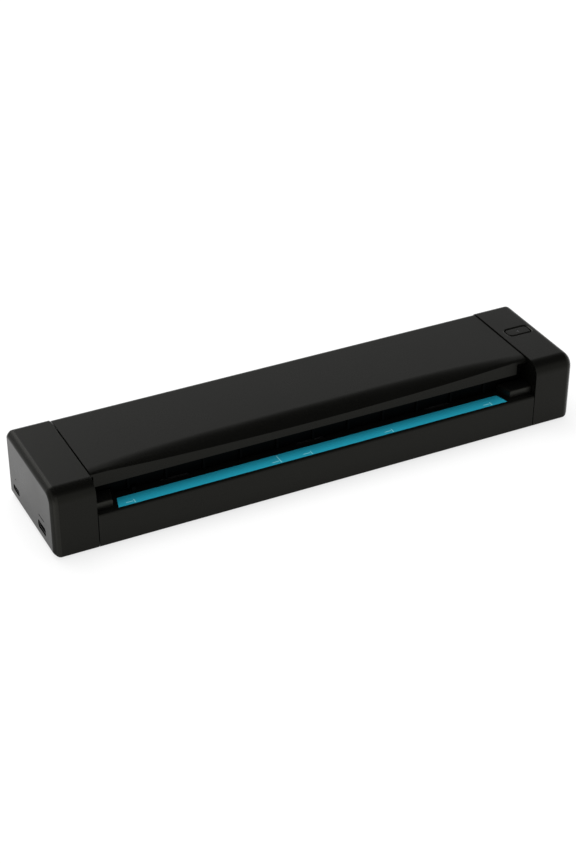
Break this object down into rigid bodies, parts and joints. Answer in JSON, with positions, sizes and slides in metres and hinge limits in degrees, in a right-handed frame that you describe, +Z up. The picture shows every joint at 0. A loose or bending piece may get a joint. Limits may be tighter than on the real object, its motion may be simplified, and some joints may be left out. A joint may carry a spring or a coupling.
{
  "type": "portable sheetfed scanner",
  "caption": "Portable sheetfed scanner: a low dark bar with moulded end covers, a hinged lid over driven rollers and a front paper mouth.",
  "frame": {"origin": "on the table, under the middle of the scanner's box", "axes": "+X to the right along the scanner's length, +Y from the front to the back, +Z up"},
  "size_m": [0.305, 0.068, 0.04],
  "materials": {
    "shell": "satin",
    "guide": "matte",
    "strip": "satin",
    "rubber": "matte",
    "steel": "brushed",
    "brass": "turned",
    "gear": "satin",
    "board": "gloss",
    "glass": "gloss",
    "white": "satin"
  },
  "bodies": {
    "base": {"base_tray": "shell", "left_end_cover": "shell", "right_end_cover": "shell", "entry_guide": "guide", "guide_strip": "strip", "exit_guide": "guide", "scan_module": "guide", "scan_glass": "glass", "scan_flex": "white", "main_board": "board", "data_socket": "steel", "power_socket": "steel", "button_board": "board", "gear_bracket": "steel", "idler_axle": "steel", "motor": "steel", "left_hinge_pin": "steel", "right_hinge_pin": "steel", "left_feed_bush": "brass", "left_exit_bush": "brass", "right_feed_bush": "brass", "right_exit_bush": "brass", "foot_1": "rubber", "foot_2": "rubber", "foot_3": "rubber", "foot_4": "rubber", "cover_screw_1": "steel", "cover_screw_2": "steel", "cover_screw_3": "steel", "cover_screw_4": "steel"},
    "feed_roller": {"feed_shaft": "steel", "feed_gear": "gear", "feed_tyre_1": "rubber", "feed_tyre_2": "rubber", "feed_tyre_3": "rubber"},
    "exit_roller": {"exit_shaft": "steel", "exit_gear": "gear", "exit_tyre_1": "rubber", "exit_tyre_2": "rubber", "exit_tyre_3": "rubber"},
    "idler": {"idler_gear": "gear"},
    "motor_rotor": {"motor_shaft": "steel", "motor_pinion": "brass"},
    "sensor": {"sensor_lever": "guide"},
    "button": {"scan_button": "shell", "status_lens": "white"},
    "lid": {"top_cover": "shell", "upper_guide": "guide", "backing_plate": "white", "front_pinch_spring": "steel", "rear_pinch_spring": "steel"},
    "front_pinch": {"front_pinch_axle": "steel", "front_pinch_roller_1": "gear", "front_pinch_roller_2": "gear", "front_pinch_roller_3": "gear"},
    "rear_pinch": {"rear_pinch_axle": "steel", "rear_pinch_roller_1": "gear", "rear_pinch_roller_2": "gear", "rear_pinch_roller_3": "gear"}
  },
  "joints": [
    {"name": "lid_hinge", "type": "hinge", "parent": "base", "child": "lid", "pos_m": [0, 0.028, 0.032], "axis": [-1, 0, 0], "range_deg": [0, 75]},
    {"name": "feed_roller_spin", "type": "hinge", "parent": "base", "child": "feed_roller", "pos_m": [0, -0.0145, 0.015], "axis": [1, 0, 0], "continuous": true},
    {"name": "exit_roller_spin", "type": "hinge", "parent": "base", "child": "exit_roller", "pos_m": [0, 0.0149, 0.015], "axis": [1, 0, 0], "continuous": true},
    {"name": "idler_spin", "type": "hinge", "parent": "base", "child": "idler", "pos_m": [0.135, 0.0002, 0.015], "axis": [1, 0, 0], "continuous": true},
    {"name": "motor_spin", "type": "hinge", "parent": "base", "child": "motor_rotor", "pos_m": [0.138, -0.01092, 0.02308], "axis": [1, 0, 0], "continuous": true},
    {"name": "front_pinch_spin", "type": "hinge", "parent": "lid", "child": "front_pinch", "pos_m": [-0.002, -0.0145, 0.0248], "axis": [1, 0, 0], "continuous": true},
    {"name": "rear_pinch_spin", "type": "hinge", "parent": "lid", "child": "rear_pinch", "pos_m": [-0.002, 0.0149, 0.0248], "axis": [1, 0, 0], "continuous": true},
    {"name": "sensor_tilt", "type": "hinge", "parent": "base", "child": "sensor", "pos_m": [-0.104, -0.0214, 0.0167], "axis": [-1, 0, 0], "range_deg": [0, 50], "stiffness_Nm_per_rad": 0.0004, "springref_deg": -17.19},
    {"name": "button_press", "type": "slide", "parent": "base", "child": "button", "axis": [0, 0, -1], "range_m": [0, 0.0005], "stiffness_N_per_m": 500, "springref_m": -0.0003}
  ],
  "couplings": [
    {"joint": "exit_roller_spin", "follows": "feed_roller_spin", "ratio": 1},
    {"joint": "idler_spin", "follows": "feed_roller_spin", "ratio": -0.75},
    {"joint": "motor_spin", "follows": "feed_roller_spin", "ratio": 3}
  ]
}
